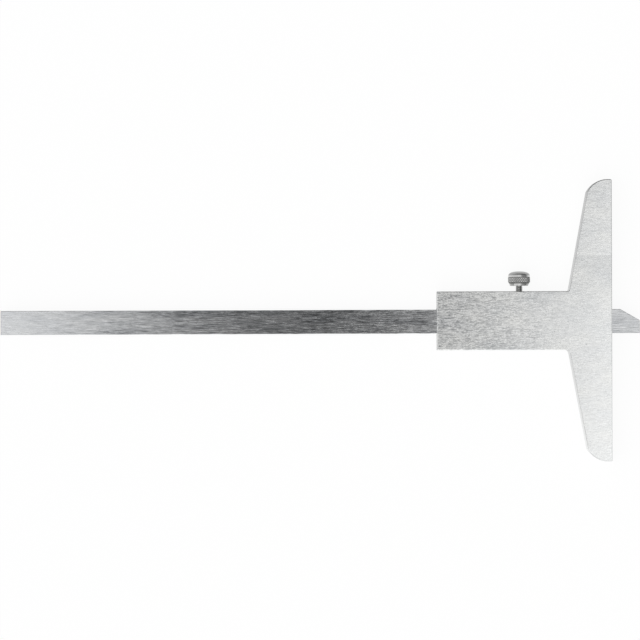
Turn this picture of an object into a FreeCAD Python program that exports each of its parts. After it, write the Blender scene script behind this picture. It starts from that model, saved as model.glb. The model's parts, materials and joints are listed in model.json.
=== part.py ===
import FreeCAD, Part
import math
import os

# Vernier depth gauge for depths of 0 to 150 mm, read to 0.05 mm, lying on its scale side, plain back up.
# A T-shaped slider of one piece is the bridge and the stem. A flat beam runs through the stem's passage.
# X runs along the beam towards its measuring tip, Y along the bridge towards the locking screw, and Z through
# the thickness towards the plain back. The origin is the centre of the bridge's measuring face.
# All sizes are in millimetres.

# Bridge and stem
bridge_length = 100.0
body_thickness = 8.0
stem_end_wall = 3.25  # solid steel between the scale window and the stem's rear end
side_wall = 5.85  # solid steel from the beam passage to each long edge of the stem
arm_root_width = 15.2
arm_taper_deg = 10.5
arm_end_flat = 1.6
arm_end_break_deg = 16.0  # how far the rounded end's foot turns to run on as the slanted edge
arm_corner_radius = 0.5
root_fillet_screw_side = 0.7
root_fillet_far_side = 1.6
rim_chamfer = 0.3

# Beam
beam_length = 227.0
beam_width = 8.5
beam_thickness = 3.0
beam_edge_chamfer = 0.15
tip_land = 4.5  # what is left of the beam's width at the measuring tip
tip_bevel_deg = 30.0
reading = 10.05  # how far the tip stands out of the measuring face
running_gap = 0.03

# Gib strip between the beam and the passage wall, with its two set screws
gib_thickness = 0.5
gib_back_gap = 0.05
gib_end_gap = 2.0
set_screw_diameter = 2.5
set_screw_spacing = 24.0
set_screw_recess = 0.8
set_screw_slot_width = 0.4
set_screw_slot_depth = 0.8
dog_diameter = 1.2
dog_length = 0.35
dog_gap = 0.05

# Locking screw with its pad
lock_screw_inset = 32.7  # from the measuring face to the screw's axis
lock_thread_diameter = 2.5
lock_tip_chamfer = 0.25
thread_gap = 0.02
hole_mouth_chamfer = 0.3
pad_side_gap = 0.1
pad_height = 1.0
contact_gap = 0.02
knob_standoff = 1.95  # from the stem's edge to the knob's underside
knob_diameter = 7.9
knob_foot_diameter = 6.5
knob_collar_diameter = 6.9
knob_collar_height = 0.8
knob_bevel_height = 0.35
knob_dome_height = 1.65
knurl_height = 2.35
knurl_rows = 4
knurl_teeth = 34
knurl_depth = 0.2
knurl_step = 0.05  # from the knurl's root down to the bevel's and the dome's rim

# Scale window and vernier plate, on the side that faces down
window_margin = 2.75  # from the vernier's first and last lines to the window's ends
window_lip = 0.6  # how far the slider's front wall reaches over the beam's edge
window_bevel_deg = 45.0
window_corner_radius = 1.0
plate_rim = 1.1  # solid steel left between the plate and the stem's long edge
plate_gap = 0.05
plate_lift = 0.1  # from the beam's scale face to the plate's underside
plate_recess = 0.1
plate_cover = 3.7  # how far the plate reaches over the beam
plate_edge = 0.15
plate_flat_width = 3.8
plate_screw_inset = 4.0
plate_screw_diameter = 1.6
plate_screw_grip = 3.2
plate_screw_head_diameter = 2.8
plate_screw_head_height = 0.9
plate_screw_slot_width = 0.4
plate_screw_slot_depth = 0.45
counterbore_gap = 0.15
counterbore_depth = 1.1
shank_gap = 0.15

# Graduations, cut as shallow grooves
scale_range = 150
scale_overrun = 40
vernier_zero_inset = 17.0  # from the measuring face to the vernier's zero line
vernier_divisions = 20
vernier_length = 39.0
line_width = 0.12
line_depth = 0.04
line_short = 1.5
line_middle = 2.0
line_long = 2.5
line_tuck = 0.3  # how far the beam's lines run on under the plate's edge
scale_long_every = 10
scale_middle_every = 5
vernier_long_every = 4
vernier_middle_every = 2

# What follows from the sizes above
half_thickness = body_thickness / 2
passage_half = (beam_width + 2 * running_gap + gib_thickness + gib_back_gap) / 2
stem_half = passage_half + side_wall
beam_low_y = -passage_half + running_gap
beam_high_y = beam_low_y + beam_width
beam_half_thickness = beam_thickness / 2
gib_low_y = beam_high_y + running_gap
gib_high_y = gib_low_y + gib_thickness
passage_half_height = beam_half_thickness + running_gap
lock_screw_x = -lock_screw_inset
seat_z = -(beam_half_thickness + plate_lift)
plate_low_y = -(stem_half - plate_rim)
plate_foot_y = beam_low_y + plate_cover
plate_face_z = -(half_thickness - plate_recess)
plate_flat_high_y = plate_low_y + plate_flat_width
window_front_x = window_margin - vernier_zero_inset
window_rear_x = -(vernier_zero_inset + vernier_length + window_margin)
window_length = window_front_x - window_rear_x
stem_length = stem_end_wall - window_rear_x
overshoot = 1.0  # how far a cutting tool runs past the face that it opens
same_place = 0.01  # nearer than this, two places count as one

up = FreeCAD.Vector(0, 0, 1)
outward = FreeCAD.Vector(0, 1, 0)


def block(low, high):
    """A box between two corners."""
    size = FreeCAD.Vector(*high) - FreeCAD.Vector(*low)
    return Part.makeBox(size.x, size.y, size.z, FreeCAD.Vector(*low))


def prism(points, direction):
    """A polygon's points, swept along a direction."""
    corners = [FreeCAD.Vector(*p) for p in points]
    return Part.Face(Part.makePolygon(corners + corners[:1])).extrude(FreeCAD.Vector(*direction))


def upright_edges(shape, x, y):
    """The edges along Z that stand at one place."""
    found = []
    for edge in shape.Edges:
        box = edge.BoundBox
        upright = box.XLength < same_place and box.YLength < same_place
        if upright and abs(box.XMin - x) < same_place and abs(box.YMin - y) < same_place:
            found.append(edge)
    return found


def edges_at_height(shape, z):
    """The edges that lie in one level plane."""
    boxes = [(edge, edge.BoundBox) for edge in shape.Edges]
    return [edge for edge, box in boxes if max(abs(box.ZMin - z), abs(box.ZMax - z)) < same_place]


def line_length(number, long_every, middle_every):
    """How long a graduation is, by its number along the scale."""
    if number % long_every == 0:
        return line_long
    if number % middle_every == 0:
        return line_middle
    return line_short


def arm_end_round():
    """An arm's rounded end: the angle that its arc turns through, and its radius."""
    slope = math.tan(math.radians(arm_taper_deg))
    turn = math.radians(90 - arm_taper_deg - arm_end_break_deg)
    room = arm_root_width - slope * (bridge_length / 2 - stem_half) - arm_end_flat
    radius = room / (math.sin(turn) - slope * (1 - math.cos(turn)))
    return turn, radius


def arm_end_corner():
    """Where an arm's slanted edge meets its rounded end."""
    turn, radius = arm_end_round()
    return -arm_end_flat - radius * math.sin(turn), bridge_length / 2 - radius * (1 - math.cos(turn))


def arm_edges(side):
    """Half of the slider's outline, from the measuring face round one arm to the stem's rear end."""
    end_y = bridge_length / 2
    turn, radius = arm_end_round()

    def at(x, y):
        return FreeCAD.Vector(x, side * y, 0)

    face_end = at(0, end_y)
    arc_start = at(-arm_end_flat, end_y)
    arc_middle = at(
        -arm_end_flat - radius * math.sin(turn / 2), end_y - radius * (1 - math.cos(turn / 2))
    )
    arc_end = at(*arm_end_corner())
    root = at(-arm_root_width, stem_half)
    rear = at(-stem_length, stem_half)
    return [
        Part.makeLine(at(0, 0), face_end),
        Part.makeLine(face_end, arc_start),
        Part.Arc(arc_start, arc_middle, arc_end).toShape(),
        Part.makeLine(arc_end, root),
        Part.makeLine(root, rear),
        Part.makeLine(rear, at(-stem_length, 0)),
    ]


def tapped_hole(x, diameter):
    """The tool for a hole from the stem's upper edge into the passage, with its bevelled mouth."""
    radius = diameter / 2 + thread_gap
    start = FreeCAD.Vector(x, 0, 0)
    hole = Part.makeCylinder(radius, stem_half + overshoot, start, outward)
    mouth_start = FreeCAD.Vector(x, stem_half - hole_mouth_chamfer, 0)
    reach = hole_mouth_chamfer + overshoot
    mouth = Part.makeCone(radius, radius + reach, reach, mouth_start, outward)
    return hole.fuse(mouth)


def plate_screw_places():
    """Where the vernier plate's two screws stand."""
    y = plate_low_y + plate_flat_width / 2
    return {
        "front": (window_front_x - plate_screw_inset, y),
        "rear": (window_rear_x + plate_screw_inset, y),
    }


def set_screw_places():
    """Where the gib strip's two set screws stand along the stem."""
    return {
        "front": lock_screw_x + set_screw_spacing / 2,
        "rear": lock_screw_x - set_screw_spacing / 2,
    }


def window_tool():
    """What is milled out of the slider's front wall: the vernier plate's seat and the sight of the beam."""
    lip_y = beam_high_y - window_lip
    out_z = -(half_thickness + overshoot)
    run = (seat_z - out_z) / math.tan(math.radians(window_bevel_deg))
    section = [
        (window_rear_x, plate_low_y, out_z),
        (window_rear_x, plate_low_y, seat_z),
        (window_rear_x, lip_y, seat_z),
        (window_rear_x, lip_y + run, out_z),
    ]
    tool = prism(section, (window_length, 0, 0))
    corners = upright_edges(tool, window_rear_x, plate_low_y)
    corners += upright_edges(tool, window_rear_x + window_length, plate_low_y)
    tool = tool.makeFillet(window_corner_radius, corners)
    sight = block(
        (window_rear_x, plate_foot_y - plate_cover, seat_z - overshoot / 2),
        (window_rear_x + window_length, lip_y, 0),
    )
    return tool.fuse(sight)


def slider_body():
    """The bridge and the stem, one piece of steel with the beam's passage through it."""
    wire = Part.Wire(Part.__sortEdges__(arm_edges(1) + arm_edges(-1)))
    body = Part.Face(wire).extrude(up * body_thickness)
    body.translate(up * -half_thickness)
    body = body.removeSplitter()
    body = body.makeFillet(root_fillet_screw_side, upright_edges(body, -arm_root_width, stem_half))
    body = body.makeFillet(root_fillet_far_side, upright_edges(body, -arm_root_width, -stem_half))
    end_y = bridge_length / 2
    corner_x, corner_y = arm_end_corner()
    ends = upright_edges(body, 0, end_y) + upright_edges(body, 0, -end_y)
    ends += upright_edges(body, corner_x, corner_y) + upright_edges(body, corner_x, -corner_y)
    body = body.makeFillet(arm_corner_radius, ends)
    rims = edges_at_height(body, half_thickness) + edges_at_height(body, -half_thickness)
    body = body.makeChamfer(rim_chamfer, rims)
    passage = block(
        (-stem_length - overshoot, -passage_half, -passage_half_height),
        (overshoot, passage_half, passage_half_height),
    )
    tools = [passage, window_tool(), tapped_hole(lock_screw_x, lock_thread_diameter)]
    for x in set_screw_places().values():
        tools.append(tapped_hole(x, set_screw_diameter))
    for x, y in plate_screw_places().values():
        start = FreeCAD.Vector(x, y, seat_z - overshoot / 2)
        depth = plate_screw_grip + thread_gap + overshoot / 2
        tools.append(Part.makeCylinder(plate_screw_diameter / 2 + thread_gap, depth, start, up))
    return body.cut(tools)


def main_scale_grooves():
    """The beam's graduations: a line each millimetre, longer at each fifth and tenth."""
    start_y = plate_foot_y - line_tuck
    deep_z = -beam_half_thickness + line_depth
    grooves = []
    for value in range(scale_range + scale_overrun + 1):
        x = -vernier_zero_inset + reading - value
        end_y = plate_foot_y + line_length(value, scale_long_every, scale_middle_every)
        low = (x - line_width / 2, start_y, -beam_half_thickness - overshoot)
        high = (x + line_width / 2, end_y, deep_z)
        grooves.append(block(low, high))
    return grooves


def beam():
    """The flat beam, bevelled at its measuring tip and graduated on its scale face."""
    tip_x = reading
    rear_x = tip_x - beam_length
    rise = beam_width - tip_land
    bevel_x = tip_x - rise / math.tan(math.radians(tip_bevel_deg))
    outline = [
        (rear_x, beam_low_y, -beam_half_thickness),
        (tip_x, beam_low_y, -beam_half_thickness),
        (tip_x, beam_low_y + tip_land, -beam_half_thickness),
        (bevel_x, beam_high_y, -beam_half_thickness),
        (rear_x, beam_high_y, -beam_half_thickness),
    ]
    bar = prism(outline, (0, 0, beam_thickness))
    rims = edges_at_height(bar, beam_half_thickness) + edges_at_height(bar, -beam_half_thickness)
    bar = bar.makeChamfer(beam_edge_chamfer, rims)
    return bar.cut(main_scale_grooves())


def vernier_grooves(foot, slant):
    """The vernier's lines, cut square to the plate's bevel."""
    grooves = []
    for division in range(vernier_divisions + 1):
        x = -vernier_zero_inset - division * vernier_length / vernier_divisions
        length = line_length(division, vernier_long_every, vernier_middle_every)
        low = (x - line_width / 2, -length, -overshoot)
        high = (x + line_width / 2, overshoot, line_depth)
        groove = block(low, high)
        groove.rotate(FreeCAD.Vector(0, 0, 0), FreeCAD.Vector(1, 0, 0), slant)
        groove.translate(foot)
        grooves.append(groove)
    return grooves


def vernier_plate():
    """The plate with the vernier on its bevelled edge, held in the slider by two screws."""
    low_x = window_rear_x + plate_gap
    low_y = plate_low_y + plate_gap
    foot_z = seat_z - plate_edge
    section = [
        (low_x, low_y, seat_z),
        (low_x, low_y, plate_face_z),
        (low_x, plate_flat_high_y, plate_face_z),
        (low_x, plate_foot_y, foot_z),
        (low_x, plate_foot_y, seat_z),
    ]
    length = window_length - 2 * plate_gap
    plate = prism(section, (length, 0, 0))
    corners = upright_edges(plate, low_x, low_y) + upright_edges(plate, low_x + length, low_y)
    plate = plate.makeFillet(window_corner_radius - plate_gap, corners)
    slant = math.degrees(math.atan2(foot_z - plate_face_z, plate_foot_y - plate_flat_high_y))
    tools = vernier_grooves(FreeCAD.Vector(0, plate_foot_y, foot_z), slant)
    for x, y in plate_screw_places().values():
        low = FreeCAD.Vector(x, y, plate_face_z - overshoot)
        shank_depth = abs(plate_face_z - seat_z) + 2 * overshoot
        tools.append(Part.makeCylinder(plate_screw_diameter / 2 + shank_gap, shank_depth, low, up))
        head_radius = plate_screw_head_diameter / 2 + counterbore_gap
        tools.append(Part.makeCylinder(head_radius, counterbore_depth + overshoot, low, up))
    return plate.cut(tools)


def plate_screw(x, y):
    """A slotted cheese-head screw that holds the vernier plate down."""
    seat = plate_face_z + counterbore_depth
    head_start = FreeCAD.Vector(x, y, seat - plate_screw_head_height)
    head = Part.makeCylinder(plate_screw_head_diameter / 2, plate_screw_head_height, head_start, up)
    shank_length = seat_z + plate_screw_grip - seat
    shank = Part.makeCylinder(plate_screw_diameter / 2, shank_length, FreeCAD.Vector(x, y, seat), up)
    half_head = plate_screw_head_diameter / 2 + overshoot
    half_slot = plate_screw_slot_width / 2
    slot_low = (x - half_head, y - half_slot, head_start.z - overshoot)
    slot_high = (x + half_head, y + half_slot, head_start.z + plate_screw_slot_depth)
    return head.fuse(shank).cut(block(slot_low, slot_high)).removeSplitter()


def gib_strip():
    """The bronze strip that takes up the beam's play, with a hole for each set screw's dog point."""
    strip = block(
        (-stem_length + gib_end_gap, gib_low_y, -beam_half_thickness),
        (-gib_end_gap, gib_high_y, beam_half_thickness),
    )
    holes = []
    for x in set_screw_places().values():
        start = FreeCAD.Vector(x, gib_low_y - overshoot, 0)
        length = gib_thickness + 2 * overshoot
        holes.append(Part.makeCylinder(dog_diameter / 2 + dog_gap, length, start, outward))
    return strip.cut(holes)


def set_screw(x):
    """A slotted set screw, with its dog point in the gib strip."""
    outer_y = stem_half - set_screw_recess
    thread = Part.makeCylinder(
        set_screw_diameter / 2, outer_y - gib_high_y, FreeCAD.Vector(x, gib_high_y, 0), outward
    )
    dog_start = FreeCAD.Vector(x, gib_high_y - dog_length, 0)
    dog = Part.makeCylinder(dog_diameter / 2, dog_length, dog_start, outward)
    half_slot = set_screw_slot_width / 2
    slot = block(
        (x - half_slot, outer_y - set_screw_slot_depth, -set_screw_diameter),
        (x + half_slot, outer_y + overshoot, set_screw_diameter),
    )
    return thread.fuse(dog).cut(slot).removeSplitter()


def lock_pad():
    """The brass pad between the locking screw's end and the gib strip."""
    start = FreeCAD.Vector(lock_screw_x, gib_high_y + contact_gap, 0)
    return Part.makeCylinder(lock_thread_diameter / 2 - pad_side_gap, pad_height, start, outward)


def knurl(base_y):
    """The diamond knurl: rows of four-sided points, left between grooves wound both ways round the knob."""
    peak = knob_diameter / 2
    columns = 2 * knurl_teeth

    def corner(row, column):
        angle = math.pi * column / knurl_teeth
        radius = peak if (row + column) % 2 == 0 else peak - knurl_depth
        y = base_y + row * knurl_height / knurl_rows
        return FreeCAD.Vector(lock_screw_x + radius * math.cos(angle), y, radius * math.sin(angle))

    facets = []
    for row in range(knurl_rows):
        for column in range(columns):
            cell = [corner(row, column), corner(row, column + 1)]
            cell += [corner(row + 1, column + 1), corner(row + 1, column)]
            first = (row + column) % 2
            for peak_at in (first, first + 2):
                facets.append([cell[peak_at], cell[(peak_at + 1) % 4], cell[peak_at - 1]])
    for row in (0, knurl_rows):
        facets.append([corner(row, column) for column in range(columns)])
    faces = [Part.Face(Part.makePolygon(facet + facet[:1])) for facet in facets]
    return Part.makeSolid(Part.makeShell(faces))


def knob_profile(base_y):
    """The knob's half section inside the knurl: a tapered collar, a bevel and an elliptical dome."""
    rim = knob_diameter / 2 - knurl_depth - knurl_step
    collar_y = base_y + knob_collar_height
    knurl_y = collar_y + knob_bevel_height
    dome_y = knurl_y + knurl_height

    def at(r, y):
        return FreeCAD.Vector(lock_screw_x + r, y, 0)

    points = [
        at(0, dome_y + knob_dome_height),
        at(0, base_y),
        at(knob_foot_diameter / 2, base_y),
        at(knob_collar_diameter / 2, collar_y),
        at(rim, knurl_y),
        at(rim, dome_y),
    ]
    dome = Part.Ellipse(at(0, dome_y), rim, knob_dome_height)
    return Part.Wire([Part.makePolygon(points), Part.Arc(dome, 0, math.pi / 2).toShape()])


def lock_screw():
    """The locking screw: a knob with a diamond knurl and a domed top, in one piece with its shank."""
    base_y = stem_half + knob_standoff
    axis_start = FreeCAD.Vector(lock_screw_x, base_y, 0)
    knob = Part.Face(knob_profile(base_y)).revolve(axis_start, outward, 360)
    band = knurl(base_y + knob_collar_height + knob_bevel_height)
    tip_y = gib_high_y + 2 * contact_gap + pad_height
    tip = FreeCAD.Vector(lock_screw_x, tip_y, 0)
    shank = Part.makeCylinder(lock_thread_diameter / 2, base_y - tip_y, tip, outward)
    ends = [edge for edge in shank.Edges if abs(edge.BoundBox.YMax - tip_y) < same_place]
    shank = shank.makeChamfer(lock_tip_chamfer, ends)
    return knob.fuse([band, shank]).removeSplitter()


def pieces():
    """Every piece by its node's name."""
    made = {
        "slider_body": slider_body(),
        "beam": beam(),
        "vernier_plate": vernier_plate(),
        "gib_strip": gib_strip(),
        "lock_pad": lock_pad(),
        "lock_screw": lock_screw(),
    }
    for name, (x, y) in plate_screw_places().items():
        made["vernier_screw_" + name] = plate_screw(x, y)
    for name, x in set_screw_places().items():
        made["gib_screw_" + name] = set_screw(x)
    return made


os.makedirs("parts", exist_ok=True)
for name, shape in pieces().items():
    shape.exportStep(os.path.join("parts", name + ".step"))
    box = shape.BoundBox
    size = f"{box.XLength:.2f} x {box.YLength:.2f} x {box.ZLength:.2f} mm"
    print(f"{name}: {len(shape.Solids)} solid, valid {shape.isValid()}, {size}, {shape.Volume:.2f} mm3")
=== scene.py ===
import json
import math

import bmesh
import bpy
from mathutils import Matrix, Vector


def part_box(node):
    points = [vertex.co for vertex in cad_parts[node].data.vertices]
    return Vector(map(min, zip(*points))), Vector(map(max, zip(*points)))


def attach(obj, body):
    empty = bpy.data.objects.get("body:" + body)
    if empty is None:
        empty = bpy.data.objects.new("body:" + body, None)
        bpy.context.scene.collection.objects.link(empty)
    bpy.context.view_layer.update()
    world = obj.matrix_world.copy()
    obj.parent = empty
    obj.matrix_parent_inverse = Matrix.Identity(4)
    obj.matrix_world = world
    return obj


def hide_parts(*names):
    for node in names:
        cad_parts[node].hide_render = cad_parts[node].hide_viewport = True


# A vernier depth gauge, lying on its scale side with its plain back up.
# Every length in the dictionaries is in millimetres.

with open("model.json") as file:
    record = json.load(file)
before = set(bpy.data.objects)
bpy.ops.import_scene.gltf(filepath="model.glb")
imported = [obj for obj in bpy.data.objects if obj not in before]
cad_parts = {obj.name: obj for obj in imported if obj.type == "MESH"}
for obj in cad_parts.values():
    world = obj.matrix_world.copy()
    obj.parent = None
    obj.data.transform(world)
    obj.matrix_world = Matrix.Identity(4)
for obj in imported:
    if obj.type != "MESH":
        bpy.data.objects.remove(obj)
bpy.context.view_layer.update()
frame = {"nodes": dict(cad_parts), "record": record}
nodes = frame["nodes"]
mm = 0.001
scene = bpy.context.scene
scene.view_settings.view_transform = "Standard"
print("frame loaded")


# shader tools

white = (1, 1, 1, 1)
black = (0, 0, 0, 1)


class Wire:
    # a socket, so that sums on wires make their Math nodes
    def __init__(self, finish, socket):
        self.finish = finish
        self.socket = socket

    def maths(self, operation, first, second):
        return self.finish.maths(operation, first, second)

    def __add__(self, other):
        return self.maths("ADD", self, other)

    def __radd__(self, other):
        return self.maths("ADD", other, self)

    def __sub__(self, other):
        return self.maths("SUBTRACT", self, other)

    def __rsub__(self, other):
        return self.maths("SUBTRACT", other, self)

    def __mul__(self, other):
        return self.maths("MULTIPLY", self, other)

    def __rmul__(self, other):
        return self.maths("MULTIPLY", other, self)

    def __truediv__(self, other):
        return self.maths("DIVIDE", self, other)

    def __abs__(self):
        return self.maths("ABSOLUTE", self, 0)

    def atMost(self, other):
        return self.maths("MINIMUM", self, other)

    def atLeast(self, other):
        return self.maths("MAXIMUM", self, other)

    def inRange(self):
        return self.atLeast(0).atMost(1)


class Finish:
    # a node tree: add() makes a node, its settings first and its sockets after
    def __init__(self, tree):
        self.tree = tree
        self.tree.nodes.clear()

    def add(self, kind, settings, sockets, out=0):
        node = self.tree.nodes.new("ShaderNode" + kind)
        for name, value in settings.items():
            if name == "stops":
                self.setStops(node.color_ramp, value)
            else:
                setattr(node, name, value)
        for name, value in sockets.items():
            if isinstance(value, Wire):
                self.tree.links.new(value.socket, node.inputs[name])
            else:
                node.inputs[name].default_value = value
        return Wire(self, node.outputs[out]) if len(node.outputs) else None

    def setStops(self, ramp, stops):
        while len(ramp.elements) < len(stops):
            ramp.elements.new(0.5)
        for element, (place, shade) in zip(ramp.elements, stops):
            element.position = place
            element.color = shade

    def maths(self, operation, first, second=0):
        return self.add("Math", {"operation": operation}, {0: first, 1: second})

    def axes(self, place, *outs):
        # a place's x, y and z, by their numbers
        return [self.add("SeparateXYZ", {}, {"Vector": place}, out) for out in outs]

    def grain(self, place, sizes, detail, rough=0.5, turn=0):
        # noise whose grain has these sizes in millimetres
        scale = [1 / (size * mm) for size in sizes]
        sockets = {"Vector": place, "Rotation": (0, 0, turn), "Scale": scale}
        stretched = self.add("Mapping", {}, sockets)
        sockets = {"Vector": stretched, "Scale": 1, "Detail": detail, "Roughness": rough}
        return self.add("TexNoise", {"noise_dimensions": "3D"}, sockets)

    def mixed(self, noises, shares):
        # the noises added up about zero, each by its share
        total = 0
        for noise, share in zip(noises, shares):
            total = (noise - 0.5) * share + total
        return total

    def ramp(self, factor, stops):
        return self.add("ValToRGB", {"stops": stops}, {"Fac": factor})

    def levels(self, factor, stops, most):
        # a grey ramp, each of its levels as a share of the most
        return self.ramp(factor, [(place, (level / most,) * 3 + (1,)) for place, level in stops])

    def step(self, value, limit):
        return self.maths("GREATER_THAN", value, limit)

    def between(self, value, low, high):
        # 1 from low to high in millimetres, else 0
        return self.step(value, low * mm) * self.step(high * mm, value)

    def rise(self, value, start, full):
        # 0 at the start and before it, 1 from full on, both in millimetres
        return ((value - start * mm) / ((full - start) * mm)).inRange()

    def spot(self, place, centre, halfSizes):
        # an upright oval seen from above: 1 in its inner half, 0 from one and a half times its size
        reach = 0
        for axis, middle, half in zip(self.axes(place, 0, 1), centre, halfSizes):
            offset = axis - middle * mm
            reach = offset * offset * (1 / (half * mm)) ** 2 + reach
        return (1.5 - self.maths("SQRT", reach)).inRange()

    def blend(self, factor, first, second):
        return self.add("Mix", {"data_type": "RGBA"}, {0: factor, 6: first, 7: second}, 2)

    def tinted(self, colour, factor, first, second):
        settings = {"data_type": "RGBA", "blend_type": "MULTIPLY"}
        return self.add("Mix", settings, {0: 1, 6: colour, 7: self.blend(factor, first, second)}, 2)

    def bump(self, height, depth, strength):
        sockets = {"Strength": strength, "Distance": depth * mm, "Height": height}
        return self.add("Bump", {}, sockets)


def newMaterial(name):
    material = bpy.data.materials.new(name)
    material.use_nodes = True
    finish = Finish(material.node_tree)
    place = finish.add("TexCoord", {}, {}, 3)
    return material, finish, place


def closeMetal(finish, colour, roughness, normal=None, metallic=1.0):
    sockets = {"Base Color": colour, "Roughness": roughness, "Metallic": metallic}
    if normal:
        sockets["Normal"] = normal
    shader = finish.add("BsdfPrincipled", {}, sockets)
    finish.add("OutputMaterial", {}, {"Surface": shader})


def closeGround(finish, look, colour, coarse, fine):
    # roughness and relief follow the coarse and the fine grain
    roughness = look["roughness"] + (coarse - 0.5) * look["roughSpread"]
    coarseShare, fineShare = look["bumpShares"]
    relief = coarse * coarseShare + fine * fineShare
    closeMetal(finish, colour, roughness, finish.bump(relief, *look["bump"]))


bodyLook = {
    "dark": (0.34, 0.35, 0.36, 1),
    "light": (1.0, 1.0, 0.99, 1),
    "grain": (1.6, 0.38, 0.38),
    "fineGrain": (0.7, 0.25, 0.25),
    "cloud": (13.0, 6.0, 6.0),
    "shares": (1.5, 0.9, 0.45),  # how much of each of these three
    "level": 0.7,
    "roughness": 0.17,
    "roughSpread": 0.06,
    "bump": (0.012, 1),  # depth and strength
    "bumpShares": (0.6, 0.4),
    "fade": (-60.0, -16.0),  # the grain is coarse at the stem's end and finer towards the bridge
    "coarse": 1.95,
    "even": 0.5,
    "evenGain": (50.0, 0.2),  # this far up the arm by the locking screw it is this much more
    "cool": (0.985, 1.0, 1.02, 1),
    "warm": (1.0, 1.0, 0.98, 1),
    "backHeight": 3.9,  # only what lies higher is on the back itself
    "speck": ((-9.3, -8.4), (0.2, 0.2)),
    # a painted reflection's faint edge across the arm: its y, then how far the lighter side and the darker
    # side reach
    "reflectionEdge": (22.95, (40.0, 0.035), (2.0, -0.085)),
    # a darker rim round the arm's end, on its chamfer and walls: its range of y and of height, the end of
    # x, how dark
    "darkEndRim": ((44.6, 47.6), (3.69, 3.96), -0.6, 0.5),
}


def makeBodySteel(look):
    material, finish, place = newMaterial("bodySteel")
    grain = finish.grain(place, look["grain"], 3, 0.6)
    fine = finish.grain(place, look["fineGrain"], 2)
    cloud = finish.grain(place, look["cloud"], 2)
    along, across, height = finish.axes(place, 0, 1, 2)
    onBack = finish.step(height, look["backHeight"] * mm)
    gainReach, gain = look["evenGain"]
    even = look["even"] + across * (gain / gainReach / mm)
    contrast = look["coarse"] + finish.rise(along, *look["fade"]) * (even - look["coarse"])
    # painted reflection: the back is lighter on one side of an edge across the arm and darker on the other
    markY, lighter, darker = look["reflectionEdge"]
    above = finish.step(across, markY * mm)
    below = finish.step(markY * mm, across)
    mark = 0
    for side, (end, change) in ((above, lighter), (below, darker)):
        mark = finish.rise(across, end, markY) * side * change + mark
    mixed = finish.mixed((grain, fine, cloud), look["shares"])
    tone = (look["level"] + mixed * contrast + mark * onBack).inRange()
    speck = finish.spot(place, *look["speck"]) * onBack
    # the arm's end is darker on its chamfer and walls
    rimAcross, rimHeights, rimEnd, rimShade = look["darkEndRim"]
    rim = finish.rise(across, *rimAcross) * finish.between(height, *rimHeights)
    rim = rim * finish.step(rimEnd * mm, along) * rimShade
    colour = finish.blend(tone * (1 - speck), look["dark"], look["light"])
    colour = finish.tinted(colour, cloud, look["cool"], look["warm"])
    colour = finish.tinted(colour, rim, white, black)
    closeGround(finish, look, colour, grain, fine)
    return material


beamLook = {
    "dark": (0.17, 0.175, 0.18, 1),
    "light": (0.99, 0.995, 1.0, 1),
    "streak": (6.5, 0.25, 0.25),
    "fineStreak": (2.2, 0.17, 0.17),
    "slants": (0.012, -0.02),  # of the two kinds of streaks, in radians
    "patch": (16.0, 2.2, 2.2),
    "shares": (1.5, 0.8, 0.5),  # how much of the streaks, the fine ones and the patches
    "level": 0.48,
    "roughness": 0.085,
    "roughSpread": 0.06,
    "bump": (0.02, 1),  # depth and strength
    "bumpShares": (0.6, 0.4),
    "contrast": (0.35, 1.3),  # at the beam's ends, and how much more where it is worn
    "worn": (-205.0, -150.0, -25.0, 15.0),  # the streaks are strong between the inner two places
    "heavy": (-125.0, -85.0, 0.5),  # and stronger still from the first of these to the second
    "cool": (0.98, 1.0, 1.03, 1),
    "warm": (1.0, 1.0, 0.99, 1),
    "tip": (-5.0, 0.2),  # from this x on the beam is that much darker
    "scratch": ((-85.5, 0.1), (0.13, 1.5), 0.35),  # its middle, half its size, how light
    "smudge": ((-84.7, -1.7), (0.8, 0.17), 0.7),  # the same, and how dark
}


def makeBeamSteel(look):
    material, finish, place = newMaterial("beamSteel")
    slant, fineSlant = look["slants"]
    streak = finish.grain(place, look["streak"], 3, 0.6, slant)
    fine = finish.grain(place, look["fineStreak"], 2, turn=fineSlant)
    patch = finish.grain(place, look["patch"], 2)
    along, height = finish.axes(place, 0, 2)
    onBack = finish.step(height, 0)
    rear, rearFull, frontFull, front = look["worn"]
    worn = finish.rise(along, rear, rearFull) * finish.rise(along, front, frontFull)
    heavyStart, heavyFull, gain = look["heavy"]
    least, more = look["contrast"]
    contrast = least + worn * (more + finish.rise(along, heavyStart, heavyFull) * gain)
    mixed = finish.mixed((streak, fine, patch), look["shares"])
    tone = (look["level"] + mixed * contrast).inRange()
    *scratchPlace, scratchLight = look["scratch"]
    tone = tone + finish.spot(place, *scratchPlace) * onBack * scratchLight
    *smudgePlace, smudgeShade = look["smudge"]
    tone = tone * (1 - finish.spot(place, *smudgePlace) * onBack * smudgeShade)
    tipStart, tipShade = look["tip"]
    tone = tone * (1 - finish.step(along, tipStart * mm) * tipShade)
    colour = finish.blend(tone, look["dark"], look["light"])
    colour = finish.tinted(colour, patch, look["cool"], look["warm"])
    closeGround(finish, look, colour, streak, fine)
    return material


smallLooks = {
    "plateSteel": {"colour": (0.74, 0.74, 0.745), "roughness": 0.32, "grain": (3.0, 0.2, 0.2)},
    "gibBronze": {"colour": (0.72, 0.50, 0.27), "roughness": 0.35, "grain": (3.0, 0.3, 0.3)},
}

smallGrain = {
    "shades": (0.82, 1.12),  # the colour times these, from the darkest to the lightest
    "limits": (0.3, 0.7),  # the grain's values that give them
    "roughSpread": 0.14,
    "bump": (0.01, 0.25),  # depth and strength
}


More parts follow.
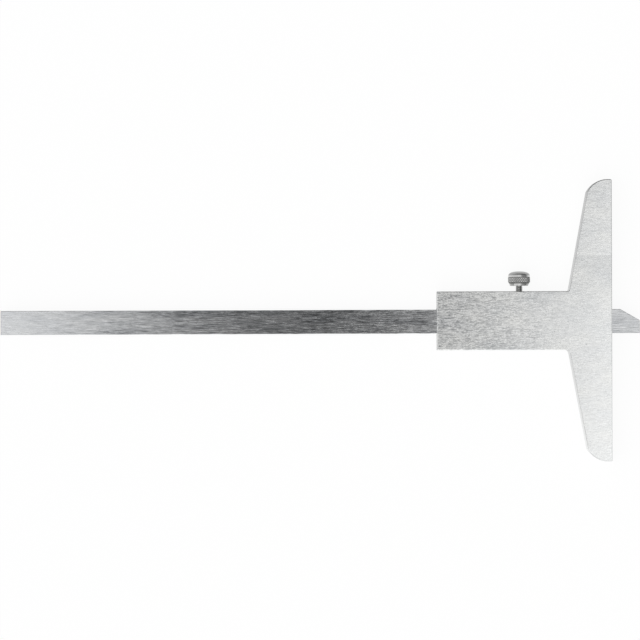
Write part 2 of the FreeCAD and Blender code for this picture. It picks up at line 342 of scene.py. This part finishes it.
def makeSmallMetal(name, look, common):
    material, finish, place = newMaterial(name)
    grain = finish.grain(place, look["grain"], 3)
    dark, light = [
        (*(min(1, level * shade) for level in look["colour"]), 1) for shade in common["shades"]
    ]
    low, high = common["limits"]
    colour = finish.blend(finish.ramp(grain, [(low, black), (high, white)]), dark, light)
    roughness = look["roughness"] + (grain - 0.5) * common["roughSpread"]
    closeMetal(finish, colour, roughness, finish.bump(grain, *common["bump"]))
    return material


screwLook = {
    # the colour of the painted shade deep in the slots
    "slotShade": (0.03, 0.03, 0.028, 1),
    "slotShadeShare": 0.92,
    "dark": (0.34, 0.34, 0.345, 1),
    "light": (0.66, 0.66, 0.67, 1),
    "grain": (0.3, 0.3, 0.3),
    "roughness": 0.28,
    "roughSpread": 0.2,
    "bump": (0.01, 0.3),  # depth and strength
    "plateSlotShade": -3.53,  # the plate's screws get painted shade above this z, which is deep in their slots
    "setSlotShade": 9.38,  # and the set screws below this y
}


def makeScrewSteel(look):
    material, finish, place = newMaterial("screwSteel")
    grain = finish.grain(place, look["grain"], 3)
    side, height = finish.axes(place, 1, 2)
    # painted shade deep in the slots of the plate's screws and of the set screws
    inPlate = finish.step(0, side) * finish.step(height, look["plateSlotShade"] * mm)
    inStem = finish.step(side, 0) * finish.step(look["setSlotShade"] * mm, side)
    slotShaded = inPlate.atLeast(inStem) * look["slotShadeShare"]
    colour = finish.blend(grain, look["dark"], look["light"])
    colour = finish.blend(slotShaded, colour, look["slotShade"])
    roughness = look["roughness"] + (grain - 0.5) * look["roughSpread"]
    closeMetal(finish, colour, roughness, finish.bump(grain, *look["bump"]))
    return material


knobLook = {
    "dark": (0.06, 0.06, 0.058, 1),
    "light": (1.0, 1.0, 0.99, 1),
    "grain": (0.4, 0.12, 0.4),
    "level": 0.85,
    "grainDepth": 0.9,
    # how dark the painted shade in the grooves is
    "grooveShade": 0.95,
    "roughness": 0.13,
    "roughChanges": (0.1, 0.2, -0.06),  # by the grain, in the grooves, on the ring
    "bump": (0.01, 0.25),  # depth and strength
    "axisX": -32.7,
    "knurl": (13.505, 15.5, 3.74, 3.92),  # low and high edge, radius of the grooves and of the points
    "ring": (15.54, 16.0),  # the ring above the knurl, given the full light colour as a painted highlight
    "dome": 0.38,  # painted shade: the dome over it is that much darker
    "bevelShadow": (13.12, 13.6, 0.8),  # painted shadow on the bevel under the knurl: low and high edge, how dark
    "collar": 0.3,  # painted shade: how dark it is below the knurl
    "thread": (12.3, 1.07, 1.24, 0.7),  # painted shade in the thread's root: high end, radius of the root and of the crest, how dark
}


def makeKnobSteel(look):
    # painted shade keeps the grooves of the knurl and of the thread dark
    material, finish, place = newMaterial("knobSteel")
    grain = finish.grain(place, look["grain"], 3)
    across, height, deep = finish.axes(place, 0, 1, 2)
    across = across - look["axisX"] * mm
    radius = finish.maths("SQRT", across * across + deep * deep)
    knurlLow, knurlHigh, root, peak = look["knurl"]
    # painted shade: the knurl's grooves and the thread's root are darker towards their bottoms
    knurlGroove = 1 - finish.rise(radius, root, peak)
    inKnurl = finish.between(height, knurlLow, knurlHigh)
    threadHigh, threadRoot, crest, threadShade = look["thread"]
    threadGroove = 1 - finish.rise(radius, threadRoot, crest)
    inThread = finish.step(threadHigh * mm, height)
    groove = (knurlGroove * knurlGroove * inKnurl).atLeast(threadGroove * inThread * threadShade)
    # painted shadow on the bevel under the knurl
    bevelShadowLow, bevelShadowHigh, bevelShadowShade = look["bevelShadow"]
    groove = groove.atLeast(finish.between(height, bevelShadowLow, bevelShadowHigh) * bevelShadowShade)
    # painted shade on the collar below the knurl
    groove = groove.atLeast(finish.step(bevelShadowHigh * mm, height) * look["collar"])
    # painted highlight: the ring above the knurl takes the full light colour
    ringLow, ringHigh = look["ring"]
    ring = finish.between(height, ringLow, ringHigh)
    # painted shade on the dome
    dome = finish.step(height, ringHigh * mm) * look["dome"]
    shade = look["level"] + (grain - 0.5) * look["grainDepth"]
    shade = (shade * (1 - groove * look["grooveShade"]) * (1 - dome)).atLeast(ring)
    colour = finish.blend(shade, look["dark"], look["light"])
    byGrain, byGroove, byRing = look["roughChanges"]
    roughness = look["roughness"] + (grain - 0.5) * byGrain + groove * byGroove + ring * byRing
    closeMetal(finish, colour, roughness, finish.bump(grain, *look["bump"]))
    return material


lineLook = {
    "dark": (0.012, 0.012, 0.013, 1),
    "light": (0.03, 0.03, 0.032, 1),
    "wear": (0.5, 0.2, 0.2),
    "roughness": 0.55,
    "roughSpread": 0.2,
}


def makeLinePaint(look):
    material, finish, place = newMaterial("linePaint")
    wear = finish.grain(place, look["wear"], 2)
    colour = finish.blend(wear, look["dark"], look["light"])
    roughness = look["roughness"] + (wear - 0.5) * look["roughSpread"]
    closeMetal(finish, colour, roughness, metallic=0.0)
    return material


metals = {
    "body_steel": makeBodySteel(bodyLook),
    "beam_steel": makeBeamSteel(beamLook),
    "plate_steel": makeSmallMetal("plateSteel", smallLooks["plateSteel"], smallGrain),
    "screw_steel": makeScrewSteel(screwLook),
    "knob_steel": makeKnobSteel(knobLook),
    "gib_bronze": makeSmallMetal("gibBronze", smallLooks["gibBronze"], smallGrain),
}
linePaint = makeLinePaint(lineLook)
print("metals made")


# the CAD pieces take their metals

for part in frame["record"]["subparts"]:
    piece = nodes[part["node"]]
    piece.data.materials.clear()
    piece.data.materials.append(metals[part["material_slot"]])
print("pieces dressed")


# mesh tools, in millimetres until toMetres

def toMetres(shape):
    bmesh.ops.scale(shape, verts=shape.verts, vec=(mm, mm, mm))


def putPiece(name, shape, body, materials, cadNodes=()):
    mesh = bpy.data.meshes.new(name)
    shape.to_mesh(mesh)
    shape.free()
    piece = bpy.data.objects.new(name, mesh)
    scene.collection.objects.link(piece)
    for material in materials:
        mesh.materials.append(material)
    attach(piece, body)
    if cadNodes:
        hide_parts(*cadNodes)


def spinLine(shape, points, steps):
    # turns a half section of (radius, height) points about the Y axis
    line = [shape.verts.new((radius, height, 0)) for radius, height in points]
    edges = [shape.edges.new(pair) for pair in zip(line, line[1:])]
    bmesh.ops.spin(
        shape, geom=line + edges, cent=(0, 0, 0), axis=(0, 1, 0),
        angle=2 * math.pi, steps=steps, use_merge=True,
    )
    bmesh.ops.remove_doubles(shape, verts=shape.verts, dist=0.0005)


def bar(shape, low, high):
    size = [b - a for a, b in zip(low, high)]
    middle = [(a + b) / 2 for a, b in zip(low, high)]
    matrix = Matrix.Translation(middle) @ Matrix.Diagonal((*size, 1))
    return bmesh.ops.create_cube(shape, size=1, matrix=matrix)["verts"]


def smoothFaces(shape, degrees):
    # smooth all over, but for the edges that turn by more than this
    for face in shape.faces:
        face.smooth = True
    for edge in shape.edges:
        if len(edge.link_faces) == 2 and edge.calc_face_angle() > math.radians(degrees):
            edge.smooth = False


# the locking screw: knob with a diamond knurl, threaded shank

lockScrew = {
    "axisX": -32.7,
    "foot": (3.25, 12.355),  # radius and height of the knob's underside
    "collar": (3.45, 13.155),
    "edge": 0.07,
    "knurl": (3.72, 13.505, 15.5),  # root radius, low and high edge
    "peak": 3.95,
    "flank": 1.25,  # how fast the points rise, and above 1 they have flat tops
    "runOut": 0.15,  # height over which the knurl ends at both edges
    "teeth": 34,
    "rows": 4,
    "stepsPerTooth": 6,
    "ring": ((3.86, 15.54), (3.79, 16.0)),
    "top": 17.505,
    "domeSteps": 12,
    "domeFullness": 2.3,  # 2 is an ellipse, more is squarer
    "shank": (1.05, 5.545),  # core radius and its lower end
    "shankTip": 0.2,
    "shankSides": 40,
    "overlap": 0.1,  # how far the shank goes into the knob
    "crest": 1.25,
    "pitch": 0.45,
    "thread": (0.15, 12.3),  # how far above the lower end it starts, and where it ends
    "threadSteps": 32,  # in each turn
    "ridge": (0.46, 0.15, 0.05),  # half its foot in pitches, the crest as a share of it, how deep it is set
    "smoothAngle": 28,
}


def cutKnurl(shape, size):
    # two sets of crossing grooves leave four-sided points in the knurl's band
    root, low, high = size["knurl"]
    rowHeight = 2 * (high - low) / size["rows"]
    for vert in shape.verts:
        if not low - 0.001 <= vert.co.y <= high + 0.001:
            continue
        around = size["teeth"] * math.atan2(vert.co.z, vert.co.x) / (2 * math.pi)
        along = (vert.co.y - low) / rowHeight
        oneWay = abs((around + along) % 1 - 0.5) * 2
        otherWay = abs((around - along) % 1 - 0.5) * 2
        rise = min(1, size["flank"] * min(oneWay, otherWay))
        ends = min(1, (vert.co.y - low) / size["runOut"], (high - vert.co.y) / size["runOut"])
        radius = root + (size["peak"] - root) * rise * max(0, ends)
        factor = radius / math.hypot(vert.co.x, vert.co.z)
        vert.co.x *= factor
        vert.co.z *= factor


def addKnob(shape, size):
    root, knurlLow, knurlHigh = size["knurl"]
    footRadius, footHeight = size["foot"]
    collarRadius, collarHeight = size["collar"]
    edge = size["edge"]
    profile = [
        (0, footHeight), (footRadius - edge, footHeight), (footRadius, footHeight + edge),
        (collarRadius, collarHeight - edge), (collarRadius + edge / 2, collarHeight),
    ]
    lines = size["rows"] * size["stepsPerTooth"]
    for step in range(lines + 1):
        profile.append((root, knurlLow + (knurlHigh - knurlLow) * step / lines))
    profile += size["ring"]
    domeRadius, domeFoot = size["ring"][-1]
    power = 2 / size["domeFullness"]
    for step in range(1, size["domeSteps"]):
        angle = math.pi / 2 * step / size["domeSteps"]
        rise = (size["top"] - domeFoot) * math.sin(angle) ** power
        profile.append((domeRadius * math.cos(angle) ** power, domeFoot + rise))
    profile.append((0, size["top"]))
    spinLine(shape, profile, size["teeth"] * size["stepsPerTooth"])
    cutKnurl(shape, size)


def addShank(shape, size):
    radius, low = size["shank"]
    tip = size["shankTip"]
    top = size["foot"][1] + size["overlap"]
    core = [(0, low), (radius - tip, low), (radius, low + tip), (radius, top), (0, top)]
    spinLine(shape, core, size["shankSides"])
    # one thread ridge, swept upwards by its pitch in each turn
    lift, threadEnd = size["thread"]
    start = low + lift
    pitch, crest, perTurn = size["pitch"], size["crest"], size["threadSteps"]
    turns = (threadEnd - start - pitch) / pitch
    steps = int(turns * perTurn)
    halfShare, crestShare, sunk = size["ridge"]
    half = pitch * halfShare
    corners = [
        (radius - sunk, start), (crest, start + half * (1 - crestShare)),
        (crest, start + half * (1 + crestShare)), (radius - sunk, start + 2 * half),
    ]
    face = shape.faces.new([shape.verts.new((out, height, 0)) for out, height in corners])
    bmesh.ops.spin(
        shape, geom=[face], cent=(0, 0, 0), axis=(0, 1, 0), angle=-2 * math.pi * steps / perTurn,
        steps=steps, dvec=(0, pitch / perTurn, 0), use_merge=False,
    )


def makeLockScrew(size):
    shape = bmesh.new()
    addKnob(shape, size)
    addShank(shape, size)
    bmesh.ops.recalc_face_normals(shape, faces=shape.faces)
    bmesh.ops.translate(shape, verts=shape.verts, vec=(size["axisX"], 0, 0))
    toMetres(shape)
    smoothFaces(shape, size["smoothAngle"])
    metal = metals["knob_steel"]
    putPiece("lockScrew", shape, "lock_screw", [metal], ["lock_screw"])


makeLockScrew(lockScrew)
print("locking screw made")


# the small slotted screws: cheese heads in the vernier plate, set screws against the gib strip

# head and shank: radius and depth below the outer face; slot: width and depth
plateScrew = {"head": (1.4, 0.9), "shank": (0.8, 5.3), "tip": 0.2, "rim": 0.14, "slot": (0.4, 0.45)}
setScrew = {"head": (1.25, 5.1), "shank": (0.6, 5.45), "tip": 0.1, "rim": 0.2, "slot": (0.4, 0.8)}
slottedScrew = {"sides": 40, "smoothAngle": 30}


def cutSlot(name, shape, width, depth, radius):
    # gives the mesh that is left of the shape
    cutter = bmesh.new()
    bar(cutter, (-radius - 1, -depth, -width / 2), (radius + 1, 1, width / 2))
    holders = []
    for source in (shape, cutter):
        mesh = bpy.data.meshes.new(name)
        source.to_mesh(mesh)
        source.free()
        holders.append(bpy.data.objects.new(name, mesh))
        scene.collection.objects.link(holders[-1])
    cut = holders[0].modifiers.new("slot", "BOOLEAN")
    cut.object = holders[1]
    cut.solver = "EXACT"
    bpy.context.view_layer.update()
    evaluated = holders[0].evaluated_get(bpy.context.evaluated_depsgraph_get())
    mesh = bpy.data.meshes.new_from_object(evaluated)
    for holder in holders:
        bpy.data.objects.remove(holder)
    return mesh


def outerFace(node, outward):
    # the middle of a node's face on the side that it points to
    low, high = [Vector(corner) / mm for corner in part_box(node)]
    place = (low + high) / 2
    for axis in range(3):
        if abs(outward[axis]) > 0.5:
            place[axis] = high[axis] if outward[axis] > 0 else low[axis]
    return place


def makeSlottedScrew(name, size, common, turn, node):
    # made with its outer face at the origin, facing +Y, then turned and carried to its node's
    headRadius, headDepth = size["head"]
    shankRadius, fullDepth = size["shank"]
    rim, tip = size["rim"], size["tip"]
    section = [
        (0, 0), (headRadius - rim, 0), (headRadius, -rim), (headRadius, -headDepth),
        (shankRadius, -headDepth), (shankRadius, tip - fullDepth),
        (shankRadius - tip, -fullDepth), (0, -fullDepth),
    ]
    shape = bmesh.new()
    spinLine(shape, section, common["sides"])
    bmesh.ops.recalc_face_normals(shape, faces=shape.faces)
    slotted = cutSlot(name, shape, *size["slot"], headRadius)
    shape = bmesh.new()
    shape.from_mesh(slotted)
    smoothFaces(shape, common["smoothAngle"])
    seat = Matrix.Translation(outerFace(node, turn @ Vector((0, 1, 0))))
    bmesh.ops.transform(shape, verts=shape.verts, matrix=seat @ turn)
    toMetres(shape)
    putPiece(name, shape, "slider", [metals["screw_steel"]], [node])


downwards = Matrix.Rotation(-math.pi / 2, 4, "X")
sideways = Matrix.Rotation(math.pi / 2, 4, "Y")
slottedScrews = [  # each with its slot turned by some radians
    ("plateScrewFront", plateScrew, downwards, 0.35, "vernier_screw_front"),
    ("plateScrewRear", plateScrew, downwards, -0.2, "vernier_screw_rear"),
    ("setScrewFront", setScrew, sideways, 0.5, "gib_screw_front"),
    ("setScrewRear", setScrew, sideways, -0.3, "gib_screw_rear"),
]
for name, size, facing, slotTurn, node in slottedScrews:
    turn = facing @ Matrix.Rotation(slotTurn, 4, "Y")
    makeSlottedScrew(name, size, slottedScrew, turn, node)
print("small screws made")


# the dark lines in the graduations, and plain numbers beside them, all on the scale side

scaleMarks = {
    "face": -1.5,
    "groove": 0.04,
    "fill": 0.03,
    "lineWidth": 0.116,
    "start": -0.9,
    "foot": -0.825,
    "endGap": 0.002,
    "lengths": (1.5, 2.0, 2.5),
    "every": (5, 10),  # a longer line, and the longest with its number
    "zeroX": -6.95,
    "count": 190,
    "numberHeight": 1.25,
    "numberY": 1.95,
    "numberLift": 0.006,
}

vernierMarks = {
    "zeroX": -17.0,
    "step": 1.95,
    "count": 20,
    "foot": (-0.825, -1.75),
    "edge": (-5.505, -3.9),
    "groove": 0.04,
    "fill": 0.03,
    "lineWidth": 0.116,
    "endGaps": (0.02, 0.002),  # at the slant's lower edge and at the line's other end
    "lengths": (1.5, 2.0, 2.5),
    "every": (2, 4),
    "perUnit": 2,  # two divisions for each unit of the numbers
    "numberHeight": 0.95,
    "numberAt": 2.8,
    "numberLift": 0.006,
}


def lineLength(number, size):
    shortLine, middleLine, longLine = size["lengths"]
    middleEvery, longEvery = size["every"]
    if number % longEvery == 0:
        return longLine
    return middleLine if number % middleEvery == 0 else shortLine


def addNumber(shape, words, height, matrix, thickness=0.004):
    # a number's outline becomes a thin closed mesh, turned over to be read from below
    curve = bpy.data.curves.new("number", "FONT")
    curve.body = words
    curve.align_x = "CENTER"
    curve.size = height / 0.7  # figures are about 0.7 of the letter size
    curve.extrude = thickness / 2
    curve.resolution_u = 3
    holder = bpy.data.objects.new("number", curve)
    mesh = bpy.data.meshes.new_from_object(holder)
    mesh.transform(matrix @ Matrix.Rotation(math.pi, 4, "Y"))
    shape.from_mesh(mesh)
    bpy.data.objects.remove(holder)
    bpy.data.curves.remove(curve)
    bpy.data.meshes.remove(mesh)


def makeScaleMarks(size):
    shape = bmesh.new()
    half = size["lineWidth"] / 2
    high = size["face"] + size["groove"]
    low = high - size["fill"]
    for number in range(size["count"] + 1):
        x = size["zeroX"] - number
        end = size["foot"] + lineLength(number, size)
        bar(shape, (x - half, size["start"], low), (x + half, end - size["endGap"], high))
    numberZ = size["face"] - size["numberLift"] / 2
    longEvery = size["every"][1]
    for number in range(0, size["count"] + 1, longEvery):
        place = Matrix.Translation((size["zeroX"] - number, size["numberY"], numberZ))
        addNumber(shape, str(number // longEvery), size["numberHeight"], place)
    toMetres(shape)
    putPiece("scaleMarks", shape, "beam", [linePaint])


def makeVernierMarks(size):
    shape = bmesh.new()
    footY, footZ = size["foot"]
    edgeY, edgeZ = size["edge"]
    slant = math.atan2(footZ - edgeZ, footY - edgeY)
    tilt = Matrix.Translation((0, footY, footZ)) @ Matrix.Rotation(slant, 4, "X")
    half = size["lineWidth"] / 2
    high = size["groove"]
    low = high - size["fill"]
    nearGap, farGap = size["endGaps"]
    for number in range(size["count"] + 1):
        x = size["zeroX"] - size["step"] * number
        far = farGap - lineLength(number, size)
        verts = bar(shape, (x - half, far, low), (x + half, -nearGap, high))
        bmesh.ops.transform(shape, verts=verts, matrix=tilt)
    numberY = -size["numberAt"] - size["numberHeight"]
    for number in range(0, size["count"] + 1, size["every"][1]):
        x = size["zeroX"] - size["step"] * number
        place = tilt @ Matrix.Translation((x, numberY, -size["numberLift"] / 2))
        addNumber(shape, str(number // size["perUnit"]), size["numberHeight"], place)
    toMetres(shape)
    putPiece("vernierMarks", shape, "slider", [linePaint])


makeScaleMarks(scaleMarks)
makeVernierMarks(vernierMarks)
print("scales marked")


# floor, light and camera

floorCard = {
    "halfWidth": 1500.0,
    "height": -4.03,
    "shade": 0.9,
    "glow": 0.85,  # its share in what the camera sees, and the rest shows the shadow
    "glowStrength": 1.07,
    # the metal sees a floor whose levels change over this much of y
    "mirroredWidth": 200.0,
    "mirrored": [(0.0, 1.02), (0.25, 1.0), (0.4, 0.84), (0.5, 0.74), (0.75, 0.62), (1.0, 0.6)],
    "most": 1.1,
}


def makeFloor(card):
    mesh = bpy.data.meshes.new("floorCard")
    shape = bmesh.new()
    bmesh.ops.create_grid(shape, x_segments=1, y_segments=1, size=card["halfWidth"] * mm)
    bmesh.ops.translate(shape, verts=shape.verts, vec=(0, 0, card["height"] * mm))
    shape.to_mesh(mesh)
    shape.free()
    floor = bpy.data.objects.new("floorCard", mesh)
    scene.collection.objects.link(floor)
    material, finish, place = newMaterial("floorCard")
    camera, glossy, clear = [finish.add("LightPath", {}, {}, out) for out in (0, 3, 6)]
    seen = camera.atLeast(clear) * card["glow"]
    matt = finish.add("BsdfDiffuse", {}, {"Color": (card["shade"],) * 3 + (1,)})
    glow = finish.add("Emission", {}, {"Color": white, "Strength": card["glowStrength"]})
    [across] = finish.axes(place, 1)
    across = across * (1 / (card["mirroredWidth"] * mm)) + 0.5
    levels = finish.levels(across, card["mirrored"], card["most"])
    mirrored = finish.add("Emission", {}, {"Color": levels, "Strength": card["most"]})
    surface = finish.add("MixShader", {}, {0: seen, 1: matt, 2: glow})
    surface = finish.add("MixShader", {}, {0: glossy, 1: surface, 2: mirrored})
    # from below the floor is clear, so that the scale side is seen
    below = finish.add("NewGeometry", {}, {}, 6)
    gone = finish.add("BsdfTransparent", {}, {})
    surface = finish.add("MixShader", {}, {0: below, 1: surface, 2: gone})
    finish.add("OutputMaterial", {}, {"Surface": surface})
    mesh.materials.append(material)


makeFloor(floorCard)

# a level of 1 is white; the three ramps are multiplied
tent = {
    # from the zenith outwards: dark where the lens hangs, bright to both sides
    "overhead": [
        (0.0, 0.26), (0.03, 0.12), (0.045, 0.18), (0.06, 0.41), (0.08, 0.99), (0.1, 1.24),
        (0.13, 1.32), (0.2, 1.25), (0.32, 0.95), (1.0, 0.88),
    ],
    "squash": 0.3,  # less makes that pattern longer in y
    # from -X to +X
    "along": [(0.0, 0.8), (0.22, 1.02), (0.4, 1.0), (0.6, 1.0), (0.75, 0.45), (1.0, 0.22)],
    # from -Y to +Y
    "across": [
        (0.0, 0.96), (0.2, 0.85), (0.34, 0.9), (0.42, 1.26), (0.46, 1.26), (0.54, 0.72),
        (0.65, 0.5), (0.8, 0.26), (1.0, 0.26),
    ],
    "narrowing": 0.9,  # that one narrows towards both ends of x
    "most": 1.5,
}


def makeTent(light):
    world = bpy.data.worlds.new("lightTent")
    world.use_nodes = True
    scene.world = world
    finish = Finish(world.node_tree)
    along, across = finish.axes(finish.add("TexCoord", {}, {}), 0, 1)
    reach = finish.maths("SQRT", along * along + across * across * light["squash"] ** 2)
    narrowed = across * (1 - abs(along) * light["narrowing"])
    factors = {"overhead": reach, "along": along * 0.5 + 0.5, "across": narrowed * 0.5 + 0.5}
    tone = 1
    for name, factor in factors.items():
        tone = finish.levels(factor, light[name], light["most"]) * light["most"] * tone
    lit = finish.add("Background", {}, {"Color": white, "Strength": tone})
    plain = finish.add("Background", {}, {"Color": white, "Strength": 1})
    camera = finish.add("LightPath", {}, {}, 0)
    sky = finish.add("MixShader", {}, {0: camera, 1: lit, 2: plain})
    finish.add("OutputWorld", {}, {"Surface": sky})


makeTent(tent)

lens = {
    "place": (-103.5, 0.44, 1034.0),
    "focal": 163.6,
    "sensor": 36.0,
    "roll": 0.19,  # in degrees
    "clip": (10.0, 10000.0),
}


def makeCamera(view):
    data = bpy.data.cameras.new("cameraAbove")
    data.lens = view["focal"]
    data.sensor_width = view["sensor"]
    data.clip_start, data.clip_end = [end * mm for end in view["clip"]]
    camera = bpy.data.objects.new("cameraAbove", data)
    camera.location = Vector(view["place"]) * mm
    camera.rotation_euler = (0, 0, math.radians(-view["roll"]))
    scene.collection.objects.link(camera)
    scene.camera = camera


makeCamera(lens)
print("floor, light and camera set")
